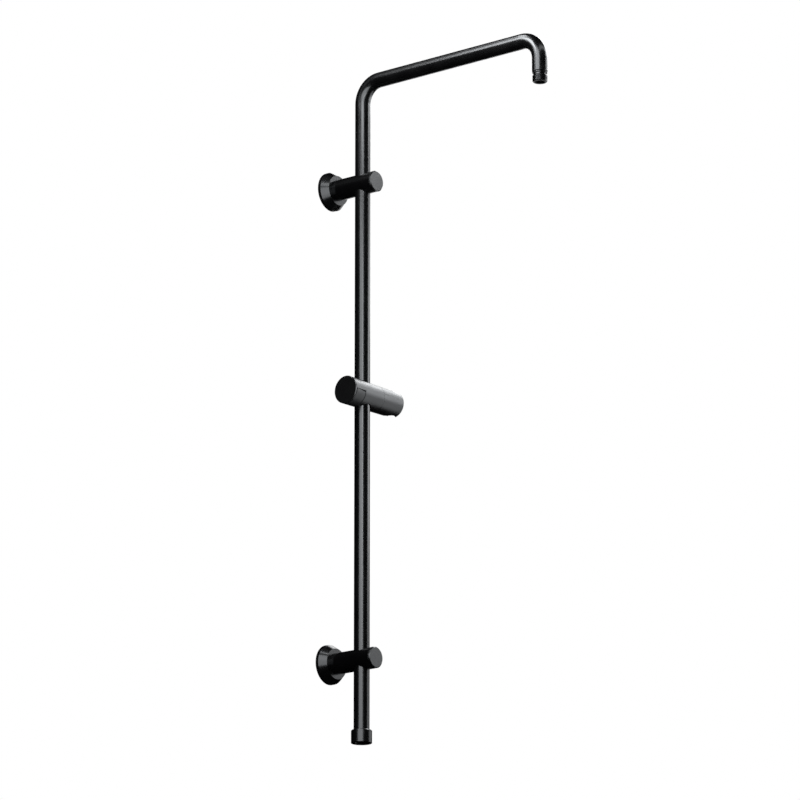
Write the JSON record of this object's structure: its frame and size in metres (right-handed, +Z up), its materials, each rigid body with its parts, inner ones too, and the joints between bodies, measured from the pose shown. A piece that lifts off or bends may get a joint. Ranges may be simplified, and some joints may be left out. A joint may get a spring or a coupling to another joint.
{
  "type": "shower slide rail",
  "caption": "Wall-mounted satin black shower rail: bent riser tube with top arm and threaded outlet on round brackets, carrying a sliding, turning and tilting handset holder.",
  "frame": {"origin": "centre of the lower bracket's wall face", "axes": "+Z up along the riser, +Y into the wall, +X to the right for someone facing the wall"},
  "size_m": [0.1081, 0.3865, 0.9661],
  "materials": {
    "black_metal": "satin black coating",
    "black_plastic": "satin black moulding",
    "bearing_plastic": "smooth dark bearing plastic",
    "bare_steel": "bright steel",
    "raw_brass": "turned brass",
    "raw_zinc": "plain zinc casting",
    "black_rubber": "matt"
  },
  "bodies": {
    "column": {"riser_tube": "black_metal", "outlet_nipple": "black_metal", "inlet_tail": "raw_brass", "inlet_seal": "black_rubber", "lower_wall_boss": "raw_zinc", "lower_wall_flange": "black_metal", "lower_post": "black_metal", "lower_post_cap": "black_metal", "lower_clamp_pad": "bearing_plastic", "lower_clamp_screw": "bare_steel", "lower_set_screw": "bare_steel", "upper_wall_boss": "raw_zinc", "upper_wall_flange": "black_metal", "upper_post": "black_metal", "upper_post_cap": "black_metal", "upper_clamp_pad": "bearing_plastic", "upper_clamp_screw": "bare_steel", "upper_set_screw": "bare_steel"},
    "inlet_nut": {"inlet_nut": "black_metal"},
    "rail_bushes": {"upper_bush": "bearing_plastic", "lower_bush": "bearing_plastic"},
    "slider_housing": {"slider_body": "black_plastic", "end_cap": "black_plastic", "lever_pin": "bare_steel", "spring_plate": "bearing_plastic", "brake_spring": "bare_steel", "tilt_screw": "bare_steel", "tilt_washer": "bare_steel", "tilt_ring": "black_rubber"},
    "release_lever": {"release_lever": "black_plastic"},
    "brake_shoe": {"brake_shoe": "bearing_plastic"},
    "handset_holder": {"holder_cup": "black_plastic"}
  },
  "joints": [
    {"name": "nut_spin", "type": "hinge", "parent": "column", "child": "inlet_nut", "pos_m": [0, -0.0595, -0.107], "axis": [0, 0, 1], "continuous": true},
    {"name": "slider_slide", "type": "slide", "parent": "column", "child": "rail_bushes", "axis": [0, 0, 1], "range_m": [-0.342, 0.272]},
    {"name": "slider_turn", "type": "hinge", "parent": "rail_bushes", "child": "slider_housing", "pos_m": [0, -0.0595, 0.3785], "axis": [0, 0, 1], "range_deg": [-90, 35]},
    {"name": "lever_press", "type": "hinge", "parent": "slider_housing", "child": "release_lever", "pos_m": [-0.0325, -0.0595, 0.3685], "axis": [0, -1, 0], "range_deg": [0, 5.5], "stiffness_Nm_per_rad": 0.01, "springref_deg": -11.46},
    {"name": "shoe_release", "type": "slide", "parent": "slider_housing", "child": "brake_shoe", "axis": [-1, 0, 0], "range_m": [0, 0.00116], "deforming": ["brake_spring"]},
    {"name": "holder_tilt", "type": "hinge", "parent": "slider_housing", "child": "handset_holder", "pos_m": [0.0265, -0.0595, 0.3785], "axis": [1, 0, 0], "range_deg": [-40, 40]}
  ],
  "couplings": [
    {"joint": "lever_press", "follows": "shoe_release", "rad_per_m": 75.188}
  ]
}
